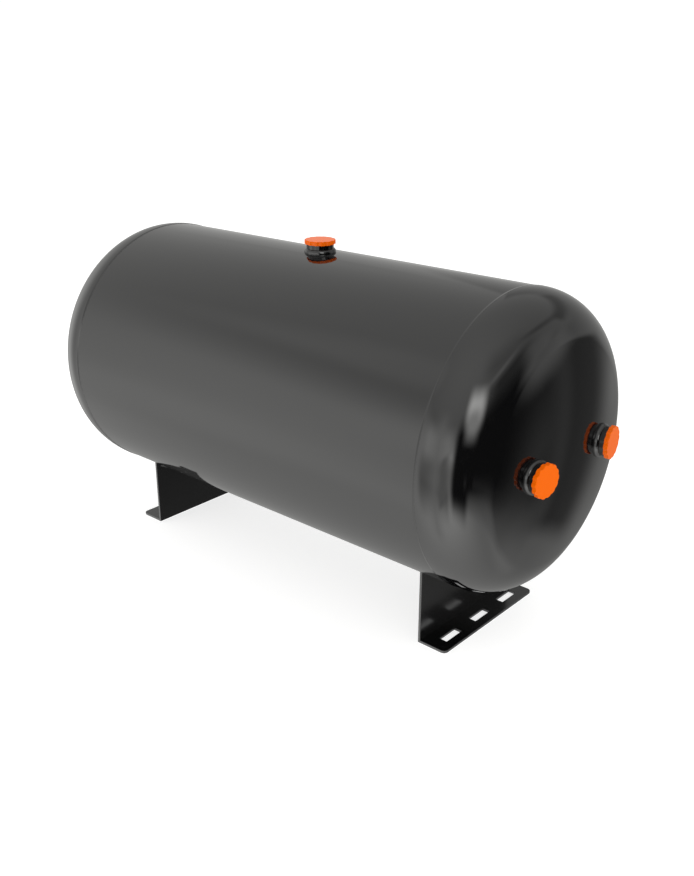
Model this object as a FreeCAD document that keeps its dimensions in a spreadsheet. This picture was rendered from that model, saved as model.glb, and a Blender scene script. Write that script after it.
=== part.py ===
import FreeCAD, Part
import os
import re

import Sketcher

# Horizontal pressure tank (compressed-air receiver) on two bracket feet.
# Frame: +X along the tank, +Z up, origin on the floor under the middle of the tank.
# Every size is in millimetres and is written once, in the spreadsheet below.

SIZES = [
    # rolled shell and its butt seam
    ("shell_diameter", 276.0),
    ("shell_length", 454.0),
    ("shell_wall", 2.5),
    ("axis_height", 191.0),
    ("seam_angle", 135.0),
    ("seam_width", 4.0),
    # dished heads: straight skirt, knuckle, crown
    ("head_step", 0.5),
    ("head_wall", 3.0),
    ("head_skirt", 2.8),
    ("knuckle_radius", 50.6),
    ("crown_radius", 400.0),
    # butt welds between shell and heads
    ("root_land", 0.8),
    ("girth_width", 2.0),
    ("weld_crown", 0.4),
    # threaded sockets, welded in
    ("socket_diameter", 26.7),
    ("socket_bore", 20.5),
    ("socket_height", 8.0),
    ("socket_reach", 12.0),
    ("socket_chamfer", 0.8),
    ("head_port_offset", 54.2),
    ("fillet_spread", 2.2),
    ("fillet_rise", 3.5),
    # plastic screw-in caps
    ("cap_diameter", 30.4),
    ("cap_thickness", 4.0),
    ("cap_edge", 0.3),
    ("cap_lobes", 14.0),
    ("lobe_radius", 3.6),
    ("lobe_depth", 0.9),
    ("spigot_clearance", 0.1),
    ("spigot_length", 9.0),
    ("spigot_wall", 1.6),
    # bent-plate feet
    # from each end of the shell to the inner face of its web
    ("foot_inset", 38.5),
    ("foot_width", 148.4),
    ("foot_length", 31.3),
    ("plate_thickness", 2.5),
    ("bend_radius", 0.8),
    ("foot_corner", 5.0),
    ("slot_length", 23.5),
    ("slot_width", 8.0),
    ("slot_spacing", 46.8),
    ("slot_edge", 13.5),
    ("foot_fillet", 2.5),
    ("foot_fillet_end", 5.0),
]

doc = FreeCAD.newDocument("pressure_tank")
sheet = doc.addObject("Spreadsheet::Sheet", "Sizes")
for row, (name, value) in enumerate(SIZES, start=1):
    sheet.set("A%d" % row, name)
    sheet.set("B%d" % row, str(value))
    sheet.setAlias("B%d" % row, name)
doc.recompute()


# Lengths that follow from the sheet, written in its names.
DERIVED = [
    ("shell_radius", "shell_diameter / 2"),
    ("inner_radius", "shell_radius - shell_wall"),
    ("head_radius", "shell_radius + head_step"),
    ("root_radius", "inner_radius + root_land"),
    ("girth_half", "girth_width / 2"),
    ("seam_half", "seam_width / 2"),
    ("knuckle_rise", "head_radius - knuckle_radius"),
    ("crown_reach", "crown_radius - knuckle_radius"),
    ("crown_back", "sqrt(crown_reach * crown_reach - knuckle_rise * knuckle_rise)"),
    ("port_face", "head_skirt - crown_back + sqrt(crown_radius * crown_radius"
                  " - head_port_offset * head_port_offset)"),
    ("port_tilt", "asin(head_port_offset / crown_radius)"),
    ("socket_radius", "socket_diameter / 2"),
    ("bore_radius", "socket_bore / 2"),
    ("cap_radius", "cap_diameter / 2"),
    ("cap_top", "socket_height + cap_thickness"),
    ("spigot_radius", "bore_radius - spigot_clearance"),
    ("foot_half", "foot_width / 2"),
    ("foot_reach", "shell_length / 2 - foot_inset"),
]
KNOWN = dict(DERIVED)
ALIASES = {name for name, value in SIZES}


def size(text):
    # writes a formula in the sheet's names out as an expression on the sheet
    def spell(match):
        word = match.group(0)
        if word in KNOWN:
            return "(" + size(KNOWN[word]) + ")"
        return "Sizes." + word if word in ALIASES else word
    return re.sub(r"[a-z]\w*", spell, text)


def number(text):
    value = sheet.evalExpression(size(text))
    return float(getattr(value, "Value", value))


def newBody(label):
    body = doc.addObject("PartDesign::Body", label)
    body.Label = label
    return body


def place(thing, at, turn=("0", "0", "0")):
    # turn is yaw about Z, then pitch about Y, then roll about X, in degrees
    vector = "create(<<vector>>; %s; %s; %s)" % tuple(size(part) for part in at)
    rotation = "create(<<rotation>>; %s; %s; %s)" % tuple(size(part) for part in turn)
    thing.setExpression("Placement", "create(<<placement>>; %s; %s)" % (vector, rotation))


def newSketch(body, role, name):
    sketch = body.newObject("Sketcher::SketchObject", name)
    planes = [plane for plane in body.Origin.OriginFeatures if plane.Role == role]
    sketch.AttachmentSupport = [(planes[0], "")]
    sketch.MapMode = "FlatFace"
    return sketch


def hold(sketch, edge, end, across, up):
    # fixes one end of an edge at two distances from the sketch's origin
    for kind, text in (("DistanceX", across), ("DistanceY", up)):
        value = number(text)
        index = sketch.addConstraint(Sketcher.Constraint(kind, -1, 1, edge, end, value))
        sketch.setExpression("Constraints[%d]" % index, size(text))


def outline(body, role, name, corners):
    # a closed outline of straight lines through the given corners
    sketch = newSketch(body, role, name)
    points = [FreeCAD.Vector(number(across), number(up), 0) for across, up in corners]
    for start, finish in zip(points, points[1:] + points[:1]):
        sketch.addGeometry(Part.LineSegment(start, finish), False)
    for edge in range(len(points)):
        following = (edge + 1) % len(points)
        sketch.addConstraint(Sketcher.Constraint("Coincident", edge, 2, following, 1))
    for edge, (across, up) in enumerate(corners):
        hold(sketch, edge, 1, across, up)
    return sketch


def circles(body, role, name, centres, radius):
    sketch = newSketch(body, role, name)
    for edge, (across, up) in enumerate(centres):
        middle = FreeCAD.Vector(number(across), number(up), 0)
        sketch.addGeometry(Part.Circle(middle, FreeCAD.Vector(0, 0, 1), number(radius)), False)
        hold(sketch, edge, 3, across, up)
        index = sketch.addConstraint(Sketcher.Constraint("Radius", edge, number(radius)))
        sketch.setExpression("Constraints[%d]" % index, size(radius))
    return sketch


def spin(body, sketch, axis, cut=False):
    # a full turn of the sketch about one of its own axes
    kind = "PartDesign::Groove" if cut else "PartDesign::Revolution"
    feature = body.newObject(kind, sketch.Name + "Turn")
    feature.Profile = sketch
    feature.ReferenceAxis = (sketch, [axis])
    feature.Angle = 360.0
    sketch.Visibility = False
    return feature


def volumeOf(body):
    doc.recompute()
    return body.Shape.Volume


def cutThrough(body, sketch, name):
    # a pocket from the sketch's plane up through everything above it
    before = volumeOf(body)
    pocket = body.newObject("PartDesign::Pocket", name)
    pocket.Profile = sketch
    pocket.Type = "ThroughAll"
    pocket.Reversed = True
    if volumeOf(body) >= before:
        raise ValueError("nothing was cut by " + name)
    return pocket


# ---- rolled shell, open at both ends, with a V groove for its butt seam


def seamPoint(radius, offset):
    # a point at this radius on the seam's own line, set off sideways; Y across, Z up
    return ("(%s) * sin(seam_angle) + (%s) * cos(seam_angle)" % (radius, offset),
            "(%s) * cos(seam_angle) - (%s) * sin(seam_angle)" % (radius, offset))


GROOVE_MOUTH = "seam_half * (shell_wall - root_land + weld_crown) / (shell_wall - root_land)"

shell = newBody("shell")
place(shell, ("0", "0", "axis_height"))
shellProfile = outline(shell, "XZ_Plane", "ShellProfile", [
    ("-shell_length / 2", "inner_radius"),
    ("-shell_length / 2", "root_radius"),
    ("-shell_length / 2 + girth_half", "shell_radius"),
    ("shell_length / 2 - girth_half", "shell_radius"),
    ("shell_length / 2", "root_radius"),
    ("shell_length / 2", "inner_radius"),
])
spin(shell, shellProfile, "H_Axis")
seamGroove = outline(shell, "YZ_Plane", "SeamGroove", [
    seamPoint("root_radius", "0"),
    seamPoint("shell_radius + weld_crown", GROOVE_MOUTH),
    seamPoint("shell_radius + weld_crown", "-" + GROOVE_MOUTH),
])
shellBefore = volumeOf(shell)
seamCut = shell.newObject("PartDesign::Pocket", "SeamCut")
seamCut.Profile = seamGroove
seamCut.Midplane = True
seamCut.setExpression("Length", size("shell_length * 2"))
if volumeOf(shell) >= shellBefore:
    raise ValueError("the seam's groove cut nothing")
topHole = circles(shell, "XY_Plane", "TopHole", [("0", "0")], "socket_radius")
cutThrough(shell, topHole, "TopHoleCut")

seam = newBody("seam_weld")
place(seam, ("0", "0", "axis_height"))
seamProfile = outline(seam, "YZ_Plane", "SeamProfile", [
    seamPoint("root_radius", "0"),
    seamPoint("shell_radius", "seam_half"),
    seamPoint("shell_radius + weld_crown", "seam_half / 2"),
    seamPoint("shell_radius + weld_crown", "-seam_half / 2"),
    seamPoint("shell_radius", "-seam_half"),
])
seamPad = seam.newObject("PartDesign::Pad", "SeamBead")
seamPad.Profile = seamProfile
seamPad.Midplane = True
seamPad.setExpression("Length", size("shell_length"))
for side, sign in (("Left", "-"), ("Right", "")):
    # the bead stops where the girth weld's groove begins
    trim = outline(seam, "XZ_Plane", "SeamTrim" + side, [
        (sign + "(shell_length / 2)", "root_radius"),
        (sign + "(shell_length / 2 - girth_half)", "shell_radius"),
        (sign + "(shell_length / 2 - girth_half)", "shell_radius + weld_crown * 2"),
        (sign + "(shell_length / 2 + girth_half)", "shell_radius + weld_crown * 2"),
        (sign + "(shell_length / 2 + girth_half)", "root_radius"),
    ])
    seamBefore = volumeOf(seam)
    spin(seam, trim, "H_Axis", cut=True)
    if volumeOf(seam) >= seamBefore:
        raise ValueError("the seam weld was not trimmed at its %s end" % side.lower())


# ---- pressed heads and the girth welds that join them to the shell


def dish(body, name, wall):
    # half section of a dished head from its rim plane, smaller all round by the wall
    radius = "(head_radius - %s)" % wall
    knuckle = "(knuckle_radius - %s)" % wall
    crown = "(crown_radius - %s)" % wall
    touchAcross = number("head_skirt + %s * crown_back / crown_reach" % knuckle)
    touchUp = number("knuckle_rise * %s / crown_reach" % crown)
    sketch = newSketch(body, "XZ_Plane", name)
    rim = FreeCAD.Vector(0, number(radius), 0)
    skirtEnd = FreeCAD.Vector(number("head_skirt"), number(radius), 0)
    apex = FreeCAD.Vector(number("head_skirt - crown_back + " + crown), 0, 0)
    touch = FreeCAD.Vector(touchAcross, touchUp, 0)
    knuckleCentre = FreeCAD.Vector(number("head_skirt"), number("knuckle_rise"), 0)
    crownCentre = FreeCAD.Vector(number("head_skirt - crown_back"), 0, 0)
    normal = FreeCAD.Vector(0, 0, 1)

    def arc(centre, start, finish):
        circle = Part.Circle(centre, normal, centre.distanceToPoint(start))
        return Part.ArcOfCircle(circle, circle.parameter(start), circle.parameter(finish))

    sketch.addGeometry(Part.LineSegment(FreeCAD.Vector(0, 0, 0), rim), False)
    sketch.addGeometry(Part.LineSegment(rim, skirtEnd), False)
    sketch.addGeometry(arc(knuckleCentre, touch, skirtEnd), False)
    sketch.addGeometry(arc(crownCentre, apex, touch), False)
    sketch.addGeometry(Part.LineSegment(apex, FreeCAD.Vector(0, 0, 0)), False)
    for rule in (
        ("Coincident", 0, 1, -1, 1),
        ("Vertical", 0),
        ("Coincident", 0, 2, 1, 1),
        ("Horizontal", 1),
        ("Tangent", 1, 2, 2, 2),
        ("Tangent", 2, 1, 3, 2),
        ("PointOnObject", 3, 3, -1),
        ("Coincident", 3, 1, 4, 1),
        ("Horizontal", 4),
        ("Coincident", 4, 2, -1, 1),
    ):
        sketch.addConstraint(Sketcher.Constraint(*rule))
    for rule, text in (
        (("DistanceY", -1, 1, 0, 2), radius),
        (("DistanceX", -1, 1, 1, 2), "head_skirt"),
        (("Radius", 2), knuckle),
        (("Radius", 3), crown),
    ):
        index = sketch.addConstraint(Sketcher.Constraint(*rule, number(text)))
        sketch.setExpression("Constraints[%d]" % index, size(text))
    return sketch


# name, which side of the middle, heading of its own X
ENDS = (("left", "-", "180 deg"), ("right", "", "0 deg"))
# name, which side of the middle; the front is the -Y side
ROWS = (("front", "-"), ("back", ""))

for side, sign, yaw in ENDS:
    dished = newBody("head_" + side)
    place(dished, (sign + "shell_length / 2", "0", "axis_height"), (yaw, "0", "0"))
    spin(dished, dish(dished, side.title() + "HeadOuter", "0"), "H_Axis")
    before = volumeOf(dished)
    spin(dished, dish(dished, side.title() + "HeadInner", "head_wall"), "H_Axis", cut=True)
    if volumeOf(dished) >= before:
        raise ValueError("the %s head was not hollowed" % side)
    bevel = outline(dished, "XZ_Plane", side.title() + "RimBevel", [
        ("0", "root_radius"),
        ("girth_half", "head_radius"),
        ("girth_half", "head_radius + head_step"),
        ("-girth_half", "head_radius + head_step"),
        ("-girth_half", "root_radius"),
    ])
    spin(dished, bevel, "H_Axis", cut=True)
    for row, way in ROWS:
        # seen along the head's own X, a left head's front is on its other hand
        near = way if sign == "" else ("" if way else "-")
        before = volumeOf(dished)
        hole = dished.newObject("PartDesign::SubtractiveCylinder", side.title() + row.title() + "Hole")
        hole.setExpression("Radius", size("socket_radius"))
        hole.setExpression("Height", size("socket_reach * 2"))
        place(hole, ("port_face - socket_reach * cos(port_tilt)",
                     near + "(head_port_offset - socket_reach * sin(port_tilt))", "0"),
              (near + "port_tilt", "90", "0"))
        if volumeOf(dished) >= before:
            raise ValueError("the %s head has no hole for its %s port" % (side, row))

    girth = newBody("girth_weld_" + side)
    place(girth, (sign + "shell_length / 2", "0", "axis_height"), (yaw, "0", "0"))
    bead = outline(girth, "XZ_Plane", side.title() + "GirthProfile", [
        ("0", "root_radius"),
        ("-girth_half", "shell_radius"),
        ("-girth_half / 4", "shell_radius + head_step / 8"),
        ("girth_half / 4", "head_radius - head_step / 8"),
        ("girth_half", "head_radius"),
    ])
    spin(girth, bead, "H_Axis")


# ---- ports: threaded socket, fillet weld round it, screw-in cap with a lobed rim.
# Each is drawn along its own Z, from the point where its axis meets the wall.


def makeSocket(name, at, turn):
    socket = newBody(name + "_socket")
    place(socket, at, turn)
    profile = outline(socket, "XZ_Plane", "Socket", [
        ("bore_radius", "-socket_reach"),
        ("socket_radius", "-socket_reach"),
        ("socket_radius", "socket_height"),
        ("bore_radius + socket_chamfer", "socket_height"),
        ("bore_radius", "socket_height - socket_chamfer"),
    ])
    spin(socket, profile, "V_Axis")


def makeCap(name, at, turn):
    cap = newBody(name + "_cap")
    place(cap, at, turn)
    profile = outline(cap, "XZ_Plane", "Cap", [
        ("0", "cap_top"),
        ("cap_radius - cap_edge", "cap_top"),
        ("cap_radius", "cap_top - cap_edge"),
        ("cap_radius", "socket_height"),
        ("spigot_radius", "socket_height"),
        ("spigot_radius", "socket_height - spigot_length"),
        ("spigot_radius - spigot_wall", "socket_height - spigot_length"),
        ("spigot_radius - spigot_wall", "socket_height"),
        ("0", "socket_height"),
    ])
    spin(cap, profile, "V_Axis")
    # the disc itself closes the hollow spigot
    notch = circles(cap, "XY_Plane", "CapNotch",
                    [("cap_radius + lobe_radius - lobe_depth", "0")], "lobe_radius")
    first = cutThrough(cap, notch, "CapNotchCut")
    before = volumeOf(cap)
    lobes = cap.newObject("PartDesign::PolarPattern", "CapLobes")
    lobes.Originals = [first]
    lobes.Axis = (notch, ["N_Axis"])
    lobes.Angle = 360.0
    lobes.setExpression("Occurrences", size("cap_lobes"))
    cap.Tip = lobes
    if volumeOf(cap) >= before:
        raise ValueError("the cap's rim pattern cut nothing")


def makePortWeld(name, at, heading):
    # a cone round the socket, still to be cut to the wall that it stands on
    weld = newBody(name + "_weld")
    place(weld, at, heading)
    profile = outline(weld, "XZ_Plane", "Fillet", [
        ("socket_radius", "-fillet_rise"),
        ("socket_radius", "fillet_rise"),
        ("socket_radius + fillet_spread * 2", "-fillet_rise"),
    ])
    spin(weld, profile, "V_Axis")
    return weld


TOP_AT = ("0", "0", "axis_height + shell_radius")
UPRIGHT = ("0", "0", "0")
makeSocket("port_top", TOP_AT, UPRIGHT)
makeCap("port_top", TOP_AT, UPRIGHT)
topWeld = makePortWeld("port_top", TOP_AT, UPRIGHT)
before = volumeOf(topWeld)
back = topWeld.newObject("PartDesign::SubtractiveCylinder", "ShellBack")
back.setExpression("Radius", size("shell_radius"))
back.setExpression("Height", size("socket_diameter * 2"))
place(back, ("-socket_diameter", "0", "-shell_radius"), ("0", "90", "0"))
if volumeOf(topWeld) >= before:
    raise ValueError("the top fillet was not cut to the shell")

for side, sign, yaw in ENDS:
    for row, way in ROWS:
        name = "port_%s_%s" % (side, row)
        at = (sign + "(shell_length / 2 + port_face)", way + "head_port_offset", "axis_height")
        # the ports stand square on the dished face, so the two lean apart
        heading = (yaw + (" + " if sign == way else " - ") + "port_tilt", "90", "0")
        makeSocket(name, at, heading)
        makeCap(name, at, heading)
        weld = makePortWeld(name, at, heading)
        before = volumeOf(weld)
        crown = weld.newObject("PartDesign::SubtractiveSphere", "Crown")
        crown.setExpression("Radius", size("crown_radius"))
        place(crown, ("0", "0", "-crown_radius"), ("0", "90", "0"))
        if volumeOf(weld) >= before:
            raise ValueError("the fillet of %s was not cut to its head" % name)


# ---- bent-plate feet: an upright web cut to the shell, a slotted flange turned outwards,
# and a fillet weld along the web's inner face. Their own X points outwards.


def edgesAt(shape, test):
    # names of the straight edges whose middle passes the test
    found = []
    for index, edge in enumerate(shape.Edges, start=1):
        if test(edge.CenterOfMass, edge.BoundBox):
            found.append("Edge%d" % index)
    return found


for side, sign, yaw in ENDS:
    foot = newBody("foot_" + side)
    place(foot, (sign + "foot_reach", "0", "0"), (yaw, "0", "0"))
    angle = outline(foot, "XZ_Plane", side.title() + "FootAngle", [
        ("0", "0"),
        ("foot_length", "0"),
        ("foot_length", "plate_thickness"),
        ("plate_thickness", "plate_thickness"),
        ("plate_thickness", "axis_height - shell_radius / 2"),
        ("0", "axis_height - shell_radius / 2"),
    ])
    plate = foot.newObject("PartDesign::Pad", side.title() + "FootPlate")
    plate.Profile = angle
    plate.Midplane = True
    plate.setExpression("Length", size("foot_width"))
    before = volumeOf(foot)
    saddle = foot.newObject("PartDesign::SubtractiveCylinder", side.title() + "Saddle")
    saddle.setExpression("Radius", size("shell_radius"))
    saddle.setExpression("Height", size("plate_thickness * 3"))
    place(saddle, ("-plate_thickness", "0", "axis_height"), ("0", "90", "0"))
    if volumeOf(foot) >= before:
        raise ValueError("the %s web was not cut to the shell" % side)
    reach = number("foot_length")
    floor = number("plate_thickness")
    corners = foot.newObject("PartDesign::Fillet", side.title() + "FlangeCorners")
    corners.Base = (saddle, edgesAt(
        saddle.Shape, lambda middle, box: abs(middle.x - reach) < 1e-6 and box.ZLength > floor / 2))
    corners.setExpression("Radius", size("foot_corner"))
    doc.recompute()
    bend = foot.newObject("PartDesign::Fillet", side.title() + "Bend")
    bend.Base = (corners, edgesAt(
        corners.Shape, lambda middle, box: abs(middle.x) < 1e-6 and abs(middle.z) < 1e-6))
    bend.setExpression("Radius", size("bend_radius"))
    slot = outline(foot, "XY_Plane", side.title() + "Slot", [
        ("foot_length - slot_edge - slot_width / 2", "-slot_spacing - slot_length / 2"),
        ("foot_length - slot_edge + slot_width / 2", "-slot_spacing - slot_length / 2"),
        ("foot_length - slot_edge + slot_width / 2", "-slot_spacing + slot_length / 2"),
        ("foot_length - slot_edge - slot_width / 2", "-slot_spacing + slot_length / 2"),
    ])
    firstSlot = cutThrough(foot, slot, side.title() + "SlotCut")
    before = volumeOf(foot)
    slots = foot.newObject("PartDesign::LinearPattern", side.title() + "Slots")
    slots.Originals = [firstSlot]
    slots.Direction = (slot, ["V_Axis"])
    slots.setExpression("Length", size("slot_spacing * 2"))
    slots.Occurrences = 3
    foot.Tip = slots
    if volumeOf(foot) >= before:
        raise ValueError("the %s flange has one slot only" % side)

    bead = newBody("foot_weld_" + side)
    place(bead, (sign + "foot_reach", "0", "axis_height"), (yaw, "0", "0"))
    corner = outline(bead, "XZ_Plane", side.title() + "FootFillet", [
        ("0", "-shell_radius"),
        ("-foot_fillet", "-shell_radius"),
        ("0", "-shell_radius - foot_fillet"),
    ])
    run = bead.newObject("PartDesign::Revolution", side.title() + "FootFilletRun")
    run.Profile = corner
    run.ReferenceAxis = (corner, ["H_Axis"])
    run.Midplane = True
    run.setExpression("Angle", size(
        "2 * asin((foot_half - foot_fillet_end) / (shell_radius + foot_fillet))"))


# ---- every object sound, then one file for each piece

doc.recompute()
for thing in doc.Objects:
    if "Invalid" in thing.State or "Error" in thing.State:
        raise ValueError("%s failed: %s" % (thing.Label, thing.State))

os.makedirs("parts", exist_ok=True)
for piece in doc.findObjects("PartDesign::Body"):
    solid = piece.Shape
    if solid.isNull() or not solid.isValid():
        raise ValueError(piece.Label + " has no sound shape")
    solid.exportStep("parts/%s.step" % piece.Label)
    print(piece.Label, "solids", len(solid.Solids), "volume", round(solid.Volume, 1))
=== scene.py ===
from math import atan2, cos, hypot, pi, radians, sin, sqrt

import bmesh
import bpy
from mathutils import Matrix, Vector


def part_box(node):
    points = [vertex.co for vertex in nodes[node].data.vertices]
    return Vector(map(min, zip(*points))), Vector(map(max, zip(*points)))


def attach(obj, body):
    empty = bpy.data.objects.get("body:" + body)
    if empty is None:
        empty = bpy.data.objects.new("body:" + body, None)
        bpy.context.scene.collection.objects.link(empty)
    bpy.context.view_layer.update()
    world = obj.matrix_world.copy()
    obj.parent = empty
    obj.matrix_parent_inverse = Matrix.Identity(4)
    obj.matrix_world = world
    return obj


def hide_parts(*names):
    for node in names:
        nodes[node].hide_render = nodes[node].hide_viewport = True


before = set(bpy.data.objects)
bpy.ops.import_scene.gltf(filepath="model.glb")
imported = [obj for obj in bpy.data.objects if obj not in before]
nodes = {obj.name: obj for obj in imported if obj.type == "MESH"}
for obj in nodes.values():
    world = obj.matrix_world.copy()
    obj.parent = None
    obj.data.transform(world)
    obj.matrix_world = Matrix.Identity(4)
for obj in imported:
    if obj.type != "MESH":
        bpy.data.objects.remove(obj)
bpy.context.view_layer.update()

scene = bpy.context.scene
ends = {"left": -1, "right": 1}           # which way along X each end of the tank lies
rows = {"front": -1, "back": 1}           # which way along Y each head's two ports lie
shellLow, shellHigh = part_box("shell")
axisHeight = (shellLow.z + shellHigh.z) / 2
shellRadius = (shellHigh.z - shellLow.z) / 2
ports = ["port_top"] + ["port_%s_%s" % (side, row) for side in ends for row in rows]
mergeGap = 0.000001                       # points nearer than this are one point


class Wire:
    # one socket of a node tree; sums and products of wires add their own Math nodes
    def __init__(self, tree, socket=None):
        self.tree = tree
        self.socket = socket

    def node(self, kind, settings=None, inputs=None, output=0):
        made = self.tree.nodes.new(kind)
        for name, value in (settings or {}).items():
            setattr(made, name, value)
        for name, value in (inputs or {}).items():
            if isinstance(value, Wire):
                self.tree.links.new(value.socket, made.inputs[name])
            else:
                made.inputs[name].default_value = value
        return Wire(self.tree, made.outputs[output])

    def math(self, operation, *others):
        values = (self,) + others
        return self.node("ShaderNodeMath", {"operation": operation}, dict(enumerate(values)))

    def between(self, low, high):
        # 0 below low, 1 above high, smooth between
        return self.node("ShaderNodeMapRange", {"interpolation_type": "SMOOTHSTEP"},
                         {"Value": self, "From Min": low, "From Max": high})

    def mix(self, first, second):
        # this wire blends two numbers
        return self.node("ShaderNodeMix", {"data_type": "FLOAT"}, {0: self, 2: first, 3: second})

    def tint(self, first, second):
        # this wire blends two colours
        return self.node("ShaderNodeMix", {"data_type": "RGBA"}, {0: self, 6: first, 7: second}, 2)

    def parts(self):
        split = self.node("ShaderNodeSeparateXYZ", inputs={0: self}).socket.node
        return [Wire(self.tree, socket) for socket in split.outputs]

    def noise(self, size, detail=2.0, rough=0.5):
        return self.node("ShaderNodeTexNoise", inputs={
            "Vector": self, "Scale": 1 / size, "Detail": detail, "Roughness": rough})

    def feeds(self, shader, name):
        self.tree.links.new(self.socket, shader.inputs[name])

    def __add__(self, other):
        return self.math("ADD", other)

    def __sub__(self, other):
        return self.math("SUBTRACT", other)

    def __rsub__(self, other):
        return (self * -1) + other

    def __mul__(self, other):
        return self.math("MULTIPLY", other)

    def __truediv__(self, other):
        return self.math("DIVIDE", other)

    __radd__ = __add__
    __rmul__ = __mul__


def newMaterial(name):
    material = bpy.data.materials.new(name)
    material.use_nodes = True
    return material, material.node_tree.nodes["Principled BSDF"]


def placeOn(material):
    # where a point lies, in metres: the Object output of Texture Coordinate
    return Wire(material.node_tree).node("ShaderNodeTexCoord", output=3)


def bumped(shader, height):
    height.node("ShaderNodeBump", inputs={"Strength": 1.0, "Distance": 1.0, "Height": height}) \
        .feeds(shader, "Normal")


# sprayed black gloss over pressed and rolled steel
# a pattern is its size, its detail and, if given, its roughness
# edges are the levels where a pattern starts to show and where it is full
paint = {
    "colour": (0.0034, 0.0034, 0.0036, 1),
    "dust": (0.010, 0.0098, 0.0094, 1),   # where dust lies in specks
    "dustPattern": (0.012, 5.0, 0.7),
    "dustEdges": (0.56, 0.78),
    "speckPattern": (0.0011, 2.0),
    "speckEdges": (0.45, 0.7),
    "roughness": 0.055,
    "roughnessSpread": 0.02,              # slow change over the coat
    "mottlePattern": (0.06, 4.0, 0.6),
    "dustRoughness": 0.05,
    "peelPattern": (0.0035, 1.5),         # orange peel of the spray
    "peelDepth": 0.000003,
    "swellPattern": (0.045, 1.0),         # slow waves of the steel
    "swellDepth": 0.00002,
    "refraction": 1.5,
}

# the feet are sprayed from one side and come out duller; their cut edges carry the least paint and are
# rougher, and their lighter colour is a painted highlight
footCoat = dict(paint, roughness=0.2, roughnessSpread=0.06)
highlitEdgeCoat = dict(footCoat, roughness=0.26,
                colour=(0.055, 0.055, 0.056, 1), dust=(0.080, 0.079, 0.077, 1))


def paintFinish(name, bead=None, coat=paint):
    material, shader = newMaterial(name)
    at = placeOn(material)
    dust = at.noise(*coat["dustPattern"]).between(*coat["dustEdges"]) \
        * at.noise(*coat["speckPattern"]).between(*coat["speckEdges"])
    rough = at.noise(*coat["mottlePattern"]) * coat["roughnessSpread"] \
        + (coat["roughness"] - coat["roughnessSpread"] / 2) + dust * coat["dustRoughness"]
    height = at.noise(*coat["peelPattern"]) * coat["peelDepth"] \
        + at.noise(*coat["swellPattern"]) * coat["swellDepth"]
    if bead:
        run, depth = bead(at)
        sway = at.noise(*weldBead["swayPattern"])
        ripple = (run + sway * weldBead["sway"]).math("FRACT")
        # four times ripple times its rest is 1 at the ripple's middle and 0 at both ends
        height = height + ripple * (1 - ripple) * (4 * depth) + sway * depth
        rough = rough + weldBead["roughness"]
    dust.tint(coat["colour"], coat["dust"]).feeds(shader, "Base Color")
    rough.feeds(shader, "Roughness")
    bumped(shader, height)
    shader.inputs["IOR"].default_value = coat["refraction"]
    return material


# the overlapping ripples of a machine-laid bead, under the paint
weldBead = {
    "pitch": 0.0026,
    "girthDepth": 0.000012,               # the girth beads are dressed nearly smooth
    "seamDepth": 0.00009,
    "footDepth": 0.00005,
    "portDepth": 0.00003,
    "swayPattern": (0.006, 2.0),
    "sway": 1.4,
    "roughness": 0.02,
}


def alongX(depth):
    return lambda at: (at.parts()[0] / weldBead["pitch"], depth)


def roundX(depth):
    # ripples that follow each other round the tank's axis
    def run(at):
        y, z = at.parts()[1:]
        turn = y.math("ARCTAN2", z - axisHeight)
        return turn * (shellRadius / weldBead["pitch"]), depth
    return run


def roundPort(middle, reach, upright):
    # ripples round one port, whose axis is near Z or near X
    def run(at):
        x, y, z = at.parts()
        across = x - middle.x if upright else z - middle.z
        turn = (y - middle.y).math("ARCTAN2", across)
        return turn * (reach / weldBead["pitch"]), weldBead["portDepth"]
    return run


# moulded caps of tough orange plastic, glossy, with fine scuffs
plastic = {
    "colour": (0.80, 0.130, 0.0004, 1),
    "worn": (0.85, 0.19, 0.012, 1),
    "glow": (1.0, 0.06, 0.0, 1),          # painted light: the plastic glows faintly orange to lift its own shadows
    "paintedGlowStrength": 0.07,
    "roughness": 0.16,
    "flowPattern": (0.006, 3.0),          # slow waves left by the mould
    "flowRoughness": 0.06,
    "flowDepth": 0.00001,
    "scuffPattern": (0.0009, 3.0, 0.7),
    "scuffEdges": (0.58, 0.78),
    "scuffArea": (0.006, 2.0),            # scuffs gather in these patches
    "scuffAreaEdges": (0.5, 0.7),
    "scuffRoughness": 0.15,
    "grainPattern": (0.0004, 2.0),
    "grainDepth": 0.000003,
    "refraction": 1.46,
    "shine": 0.14,
}


def plasticFinish(name):
    material, shader = newMaterial(name)
    at = placeOn(material)
    flow = at.noise(*plastic["flowPattern"])
    scuff = at.noise(*plastic["scuffPattern"]).between(*plastic["scuffEdges"]) \
        * at.noise(*plastic["scuffArea"]).between(*plastic["scuffAreaEdges"])
    scuff.tint(plastic["colour"], plastic["worn"]).feeds(shader, "Base Color")
    rough = flow * plastic["flowRoughness"] + plastic["roughness"] + scuff * plastic["scuffRoughness"]
    rough.feeds(shader, "Roughness")
    grain = at.noise(*plastic["grainPattern"])
    bumped(shader, grain * plastic["grainDepth"] + flow * plastic["flowDepth"])
    shader.inputs["IOR"].default_value = plastic["refraction"]
    shader.inputs["Specular IOR Level"].default_value = plastic["shine"]
    # painted light: the caps glow faintly so their shaded rims and undersides stay bright
    shader.inputs["Emission Color"].default_value = plastic["glow"]
    shader.inputs["Emission Strength"].default_value = plastic["paintedGlowStrength"]
    return material


def dress(name, material):
    for slot in nodes[name].material_slots:
        slot.material = material


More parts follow.
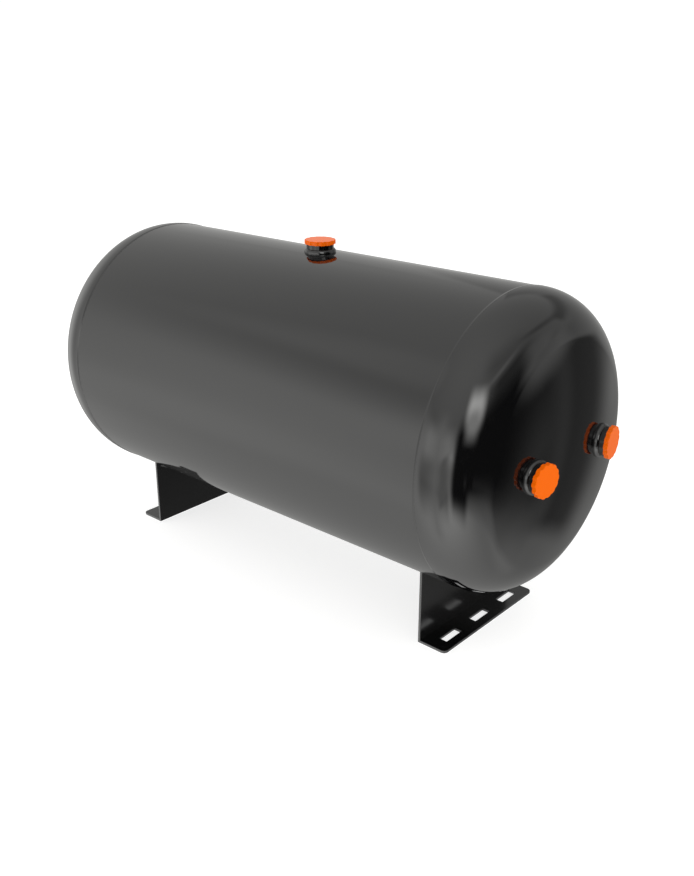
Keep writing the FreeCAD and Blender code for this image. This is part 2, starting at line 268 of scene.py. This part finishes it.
tankPaint = paintFinish("tankPaint")
footPaint = paintFinish("footPaint", coat=footCoat)
highlitEdgePaint = paintFinish("highlitEdgePaint", coat=highlitEdgeCoat)
girthPaint = paintFinish("girthPaint", roundX(weldBead["girthDepth"]))
footWeldPaint = paintFinish("footWeldPaint", roundX(weldBead["footDepth"]))
seamPaint = paintFinish("seamPaint", alongX(weldBead["seamDepth"]))
capPlastic = plasticFinish("capPlastic")
for name, material in (
    ("shell", tankPaint), ("head_left", tankPaint), ("head_right", tankPaint),
    ("girth_weld_left", girthPaint), ("girth_weld_right", girthPaint), ("seam_weld", seamPaint),
    ("foot_left", footPaint), ("foot_right", footPaint),
    ("foot_weld_left", footWeldPaint), ("foot_weld_right", footWeldPaint),
):
    dress(name, material)
for port in ports:
    dress(port + "_socket", tankPaint)
    dress(port + "_cap", capPlastic)
print("finishes ready")


def mergedCopy(name):
    # a CAD node's mesh with its loose triangles joined
    bm = bmesh.new()
    bm.from_mesh(nodes[name].data)
    bmesh.ops.remove_doubles(bm, verts=bm.verts, dist=mergeGap)
    return bm


def finished(bm, name, finishes, standsFor):
    # a new piece from a bmesh, shaded smooth; it stands for one CAD node
    mesh = bpy.data.meshes.new(name)
    bm.to_mesh(mesh)
    bm.free()
    for leftover in ("custom_normal", "sharp_edge", "sharp_face"):
        if leftover in mesh.attributes:
            mesh.attributes.remove(mesh.attributes[leftover])
    mesh.shade_smooth()
    for finish in finishes:
        mesh.materials.append(finish)
    piece = bpy.data.objects.new(name, mesh)
    scene.collection.objects.link(piece)
    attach(piece, "root")
    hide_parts(standsFor)
    return piece


# the pressed heads keep the CAD shape; their shading follows the true skirt, knuckle and crown
dish = {"skirt": 0.0028, "knuckle": 0.0506, "crown": 0.400, "wall": 0.003}

headLow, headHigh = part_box("head_right")
headRadius = (headHigh.z - headLow.z) / 2
# the knuckle turns round a ring; the crown's centre is measured along the axis from the shell's end
ringRadius = headRadius - dish["knuckle"]
ringToCrown = sqrt((dish["crown"] - dish["knuckle"]) ** 2 - ringRadius ** 2)
crownCentre = dish["skirt"] - ringToCrown


def dishNormal(point, end):
    # the outward direction of the pressed surface at a point of a head
    across = Vector((0, point.y, point.z - axisHeight))
    out = across.length
    along = point.x * end - shellHigh.x
    outward = across.normalized()
    if out < ringRadius * (along - crownCentre) / ringToCrown:
        centre, inner, radius = crownCentre, 0.0, dish["crown"]
    elif along > dish["skirt"]:
        centre, inner, radius = dish["skirt"], ringRadius, dish["knuckle"]
    else:
        centre, inner, radius = along, 0.0, headRadius
    slope = Vector((along - centre, out - inner))
    onInside = radius - slope.length > dish["wall"] / 2
    slope.normalize()
    if onInside:
        slope.negate()
    return Vector((slope.x * end, 0, 0)) + outward * slope.y


for side, end in ends.items():
    head = finished(mergedCopy("head_" + side), "pressedHead_" + side, [tankPaint],
                    "head_" + side)
    head.data.normals_split_custom_set_from_vertices(
        [dishNormal(vertex.co, end) for vertex in head.data.vertices])
print("heads smoothed")


def spunBead(bm, toes, level, axis, turns):
    # drops the two ends of a bead's outline to one level, closes it and turns it a full circle
    under = []
    for toe in toes:
        lowered = bmesh.ops.extrude_vert_indiv(bm, verts=[toe])["verts"][0]
        lowered.co.z = level
        under.append(lowered)
    bm.edges.new(under)
    bmesh.ops.spin(bm, geom=bm.verts[:] + bm.edges[:], cent=(0, 0, 0), axis=axis,
                   angle=2 * pi, steps=turns, use_merge=True)
    bmesh.ops.remove_doubles(bm, verts=bm.verts, dist=mergeGap)


# the girth welds: dressed beads that climb from the shell to the slightly larger head
girthBead = {
    "halfWidth": 0.0014,
    "sink": 0.001,
    "steps": 6,
    "turns": 360,
    "crease": 40,                         # edges sharper than this many degrees stay crisp
}

for side, end in ends.items():
    half = girthBead["halfWidth"]
    climb = headRadius - shellRadius
    curve = (half * half + climb * climb / 4) / climb
    turn = 2 * atan2(climb / 2, half)
    bm = bmesh.new()
    low = bmesh.ops.create_vert(bm, co=(-half, 0, shellRadius))["vert"][0]
    # up out of the shell, then over on to the head; each arc turns as far as the other
    tip = bmesh.ops.spin(bm, geom=[low], cent=(-half, 0, shellRadius + curve), axis=(0, -1, 0),
                         angle=turn, steps=girthBead["steps"])["geom_last"][0]
    tip = bmesh.ops.spin(bm, geom=[tip], cent=(half, 0, headRadius - curve), axis=(0, 1, 0),
                         angle=turn, steps=girthBead["steps"])["geom_last"][0]
    spunBead(bm, (low, tip), shellRadius - girthBead["sink"], (1, 0, 0), girthBead["turns"])
    bmesh.ops.scale(bm, verts=bm.verts, vec=(end, 1, 1))
    bmesh.ops.translate(bm, verts=bm.verts, vec=(shellHigh.x * end, 0, axisHeight))
    bmesh.ops.recalc_face_normals(bm, faces=bm.faces)
    bead = finished(bm, "girthBead_" + side, [girthPaint], "girth_weld_" + side)
    bead.data.set_sharp_from_angle(angle=radians(girthBead["crease"]))
print("girth beads dressed")


# the feet: bent plate, its cut edges rounded by the paint
footEdge = {
    "round": 0.00035,
    "segments": 3,
    "flat": 1,                            # faces within this many degrees are one face
    "corner": 50,                         # edges sharper than this many degrees are corners
    "saddleGap": 0.0004,
    "plate": 0.0025,
    "facing": 0.3,                        # a cut face looks along Y at least this much
    "level": 0.95,                        # and up or down less than this
}


def onSaddle(vertex):
    # on the web's cut, where the plate meets the shell
    return abs(hypot(vertex.co.y, vertex.co.z - axisHeight) - shellRadius) < footEdge["saddleGap"]


for side in ends:
    bm = mergedCopy("foot_" + side)
    for edge in bm.edges:
        edge.smooth = True
    bmesh.ops.dissolve_limit(bm, angle_limit=radians(footEdge["flat"]), verts=bm.verts, edges=bm.edges)
    corners = [edge for edge in bm.edges if edge.is_manifold
               and edge.calc_face_angle_signed() > radians(footEdge["corner"])
               and not all(onSaddle(vertex) for vertex in edge.verts)]
    bmesh.ops.bevel(bm, geom=corners, offset=footEdge["round"], offset_type="OFFSET",
                    segments=footEdge["segments"], profile=0.5, affect="EDGES", material=-1,
                    clamp_overlap=True)
    low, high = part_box("foot_" + side)
    flangeTop = low.z + footEdge["plate"]
    for face in bm.faces:
        middle = face.calc_center_median()
        cutAcross = abs(face.normal.y) > footEdge["facing"] and abs(face.normal.z) < footEdge["level"]
        cutAlong = middle.z < flangeTop and abs(middle.x) > abs(low.x + high.x) / 2 \
            and abs(face.normal.z) < footEdge["level"]
        # the cut faces take the lighter edge coat: a painted highlight over thin paint
        face.material_index = int(cutAcross or cutAlong)
    foot = finished(bm, "bentFoot_" + side, [footPaint, highlitEdgePaint], "foot_" + side)
    foot.data.set_sharp_from_angle(angle=radians(footEdge["corner"]))
    evened = foot.modifiers.new("evenShading", "WEIGHTED_NORMAL")
    evened.mode = "FACE_AREA"
    evened.keep_sharp = True
print("feet rounded")


# the fillet welds round the sockets: convex beads, sunk a little into the wall
portBead = {
    "spread": 0.0023,
    "rise": 0.0036,
    "sink": 0.0009,
    "steps": 10,
    "turns": 120,
    "crease": 40,
}
upright = Vector((0, 0, 1))


def portAxis(port):
    # where a port's axis leaves the wall, and which way it points
    low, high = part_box(port + "_socket")
    middle = (low + high) / 2
    if port == "port_top":
        return Vector((0, 0, axisHeight + shellRadius)), upright
    end = 1 if middle.x > 0 else -1
    centre = Vector(((shellHigh.x + crownCentre) * end, 0, axisHeight))
    way = (middle - centre).normalized()
    return centre + way * dish["crown"], way


topLow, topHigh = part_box("port_top_socket")
socketRadius = (topHigh.y - topLow.y) / 2
for port in ports:
    base, way = portAxis(port)
    bm = bmesh.new()
    toe = bmesh.ops.create_vert(bm, co=(1, 0, 0))["vert"][0]
    bmesh.ops.spin(bm, geom=[toe], cent=(0, 0, 0), axis=(0, -1, 0),
                   angle=pi / 2, steps=portBead["steps"])
    bmesh.ops.scale(bm, verts=bm.verts, vec=(portBead["spread"], 1, portBead["rise"]))
    bmesh.ops.translate(bm, verts=bm.verts, vec=(socketRadius, 0, 0))
    top = max(bm.verts, key=lambda vertex: vertex.co.z)
    spunBead(bm, (toe, top), -portBead["sink"], (0, 0, 1), portBead["turns"])
    bmesh.ops.recalc_face_normals(bm, faces=bm.faces)
    tilt = upright.rotation_difference(way).to_matrix().to_4x4()
    bmesh.ops.transform(bm, matrix=Matrix.Translation(base) @ tilt, verts=bm.verts)
    ripples = paintFinish(port + "WeldPaint", roundPort(base, socketRadius, port == "port_top"))
    bead = finished(bm, port + "_bead", [ripples], port + "_weld")
    bead.data.set_sharp_from_angle(angle=radians(portBead["crease"]))
print("port beads laid")


# the studio: a pale floor that gives off some light, and a soft light tent round the tank
studio = {
    "floor": (0.5, 0.5, 0.5, 1),
    "floorRoughness": 0.9,
    "floorLight": (1, 1, 1, 1),
    "floorGlow": 0.72,                    # keeps shadows faint
    "floorSize": 40.0,
    "floorLevel": -0.0004,
    "padLevel": -0.0002,                  # two pads of the floor under the feet
    "tent": 1.05,                         # even light of the tent on matt things
    "tint": (1.0, 0.998, 0.978, 1),
    "softbox": {"at": (-1.2, -1.6, 2.6), "size": 2.0, "power": 9.0},
    # what gloss mirrors: heading from the front towards the right end, and height, in degrees
    "ground": {"level": 0.0, "glow": 5.04, "focus": 1.55, "heading": 24.1, "height": -7.5},
    "sky": {"level": 0.3, "glow": 1.3, "focus": 1.06, "heading": 13.8, "height": 57.8},
    "horizon": (-30, 0),
    # heading, height, half width, half height, lean in degrees up for ten across, softness across,
    # softness up, brightness
    # the two lobes above and these rows came out of a fitting program and were rounded, all but the
    # rows leftWall and leftUpper and the softness up of leftBand, which were given one by one
    "panels": {
        "leftWall": (-82, -2, 16, 30, 0, 28, 20, 1.3),
        "leftBand": (-36.5, -7.3, 17.1, 25.8, -3.9, 35, 25, 2.2),
        "leftUpper": (-52, 42, 11, 8, 0, 18, 10, 1.48),
        "frontWall": (-1.9, 6.9, 27.4, 10.8, -0.2, 23.3, 14.6, 2.93),
        "frontTable": (0.2, -21.6, 29.8, 12.1, -1.6, 11.7, 30, 1.23),
        "gap": (1.6, -16.6, 5.6, 43.9, -0.2, 35, 15.6, 2.22),
        "tableShade": (17.2, -15.6, 6.2, 16.9, 4.6, 9.0, 7.1, 1.48),
        "backRight": (177.7, 5.2, 38.9, 19.3, 3.9, 2.3, 11.7, 0.52),
        "beamHigh": (96.5, 46.8, 29.7, 8.3, -1.6, 35, 30, 0.84),
        "shelf": (77.8, -13.9, 50.8, 3.1, -2.9, 29, 27.1, 6.49),
        "lowGlow": (84.5, -35.1, 55.1, 2.4, -2.4, 35, 30, 1.7),
        "darkUpper": (98.1, 23.1, 22.8, 12.4, 0.6, 31.7, 11.4, 0.25),
        "arc": (84.8, 39.0, 18.6, 2.1, 1.0, 35, 3.1, 1.42),
        "dark": (86.8, -5.6, 54.5, 24.9, -0.5, 13.2, 19.7, 0.0),
        "notch": (48.3, -14.5, 14.4, 21.0, -1.8, 10.8, 25.0, 0.0),
        "lip": (56.2, -17.3, 2.2, 0.7, -3.2, 4.3, 12.4, 0.32),
        "midRight": (97.7, -23.0, 27.2, 0.6, -1.5, 5.2, 12.3, 0.27),
        "nearDark": (118.3, -20.0, 10.1, 10.8, -5.9, 35, 30, 0.0),
        "wall": (130.2, 15.0, 10.9, 13.9, -2.3, 15.3, 10.9, 0.95),
        "beam": (144.1, 35.2, 19.9, 3.1, -4.4, 33, 6.0, 0.53),
        "beamLow": (173.4, 26.2, 18.9, 5.2, 0.1, 8.3, 8.6, 0.37),
        "lowRight": (154.4, -17.6, 12.3, 17.2, -0.1, 16.8, 4.8, 0.13),
        "pillar": (132.9, -18.8, 7.9, 10.0, 6.0, 14.3, 30, 0.26),
        "sill": (137.3, 5.5, 10.6, 8.3, 2.5, 12.9, 6.6, 0.83),
        "window": (56.1, 28.4, 13.1, 8.9, -2.7, 15.7, 19.3, 8.0),
        "windowLow": (55.9, 18.3, 9.5, 8.9, -1.9, 14.8, 15.1, 3.55),
    },
}


def towards(heading, height):
    # the direction of a place in the tent
    flat = cos(radians(height))
    return (sin(radians(heading)) * flat, -cos(radians(heading)) * flat, sin(radians(height)))


world = bpy.data.worlds.new("studio")
scene.world = world
world.use_nodes = True
world.node_tree.nodes.clear()
world.cycles.sampling_method = "NONE"
ray = Wire(world.node_tree).node("ShaderNodeTexCoord", output=0)


def glow(lobe):
    # a soft pool of light that fades away from its middle
    facing = ray.node("ShaderNodeVectorMath", {"operation": "DOT_PRODUCT"},
                      {0: ray, 1: towards(lobe["heading"], lobe["height"])}, 1)
    return ((facing - 1) * lobe["focus"]).math("EXPONENT") * lobe["glow"] + lobe["level"]


def covered(distance, halfSize, softness):
    # 1 within a panel's half size of its middle, 0 outside, with a soft edge
    return (halfSize - distance.math("ABSOLUTE")).between(-softness / 2, softness / 2)


x, y, z = ray.parts()
heading = x.math("ARCTAN2", y * -1) * (180 / pi)
height = z.math("ARCSINE") * (180 / pi)
light = height.between(*studio["horizon"]).mix(glow(studio["ground"]), glow(studio["sky"]))
for aim, lift, halfWidth, halfHeight, lean, softAcross, softUp, level in studio["panels"].values():
    # degrees from the panel's middle, the short way round
    across = (heading - (aim - 180)).math("FLOORED_MODULO", 360.0) - 180
    up = height - lift - across * (lean / 10)
    inside = covered(across, halfWidth, softAcross) * covered(up, halfHeight, softUp)
    light = inside.mix(light, level)
mirrored = ray.node("ShaderNodeLightPath").socket.node.outputs["Is Glossy Ray"]
background = ray.node("ShaderNodeBackground", inputs={
    "Color": studio["tint"], "Strength": Wire(world.node_tree, mirrored).mix(studio["tent"], light)})
background.feeds(world.node_tree.nodes.new("ShaderNodeOutputWorld"), "Surface")

softbox = bpy.data.lights.new("softbox", "AREA")
softbox.size = studio["softbox"]["size"]
softbox.energy = studio["softbox"]["power"]
lamp = bpy.data.objects.new("softbox", softbox)
lamp.location = studio["softbox"]["at"]
lamp.rotation_euler = (Vector((0, 0, axisHeight)) - lamp.location).to_track_quat("-Z", "Y").to_euler()
lamp.visible_glossy = False
scene.collection.objects.link(lamp)

floorPaint, floorShader = newMaterial("floorPaint")
floorShader.inputs["Base Color"].default_value = studio["floor"]
floorShader.inputs["Roughness"].default_value = studio["floorRoughness"]
floorShader.inputs["Specular IOR Level"].default_value = 0.0
floorShader.inputs["Emission Color"].default_value = studio["floorLight"]
floorShader.inputs["Emission Strength"].default_value = studio["floorGlow"]


def sheet(name, low, high, level):
    # a flat piece of the floor
    mesh = bpy.data.meshes.new(name)
    bm = bmesh.new()
    middle = ((low[0] + high[0]) / 2, (low[1] + high[1]) / 2, level)
    stretch = Matrix.Diagonal((high[0] - low[0], high[1] - low[1], 1, 1))
    bmesh.ops.create_grid(bm, x_segments=1, y_segments=1, size=0.5,
                          matrix=Matrix.Translation(middle) @ stretch)
    bm.to_mesh(mesh)
    bm.free()
    mesh.materials.append(floorPaint)
    made = bpy.data.objects.new(name, mesh)
    scene.collection.objects.link(made)
    return made


# the paint mirrors only the tent and the pads under the feet
floorReach = studio["floorSize"] / 2
floor = sheet("floor", (-floorReach, -floorReach), (floorReach, floorReach), studio["floorLevel"])
floor.visible_glossy = False
for side in ends:
    low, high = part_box("foot_" + side)
    sheet("floor_under_foot_" + side, low[:2], high[:2], studio["padLevel"])

camera = {
    "at": (0.6664, -0.7143, 0.5247),
    "down": 21.879,                       # degrees below level
    "turn": 41.477,                       # degrees from straight along Y
    "lens": 41.17,
    "sensor": 36,
    "nearest": 0.01,
    "furthest": 100,
}
lens = bpy.data.cameras.new("camera")
lens.lens = camera["lens"]
lens.sensor_width = camera["sensor"]
lens.clip_start = camera["nearest"]
lens.clip_end = camera["furthest"]
eye = bpy.data.objects.new("camera", lens)
eye.location = camera["at"]
eye.rotation_euler = (radians(90 - camera["down"]), 0, radians(camera["turn"]))
scene.collection.objects.link(eye)
scene.camera = eye
scene.view_settings.view_transform = "Standard"
scene.view_settings.look = "None"
print("studio ready")
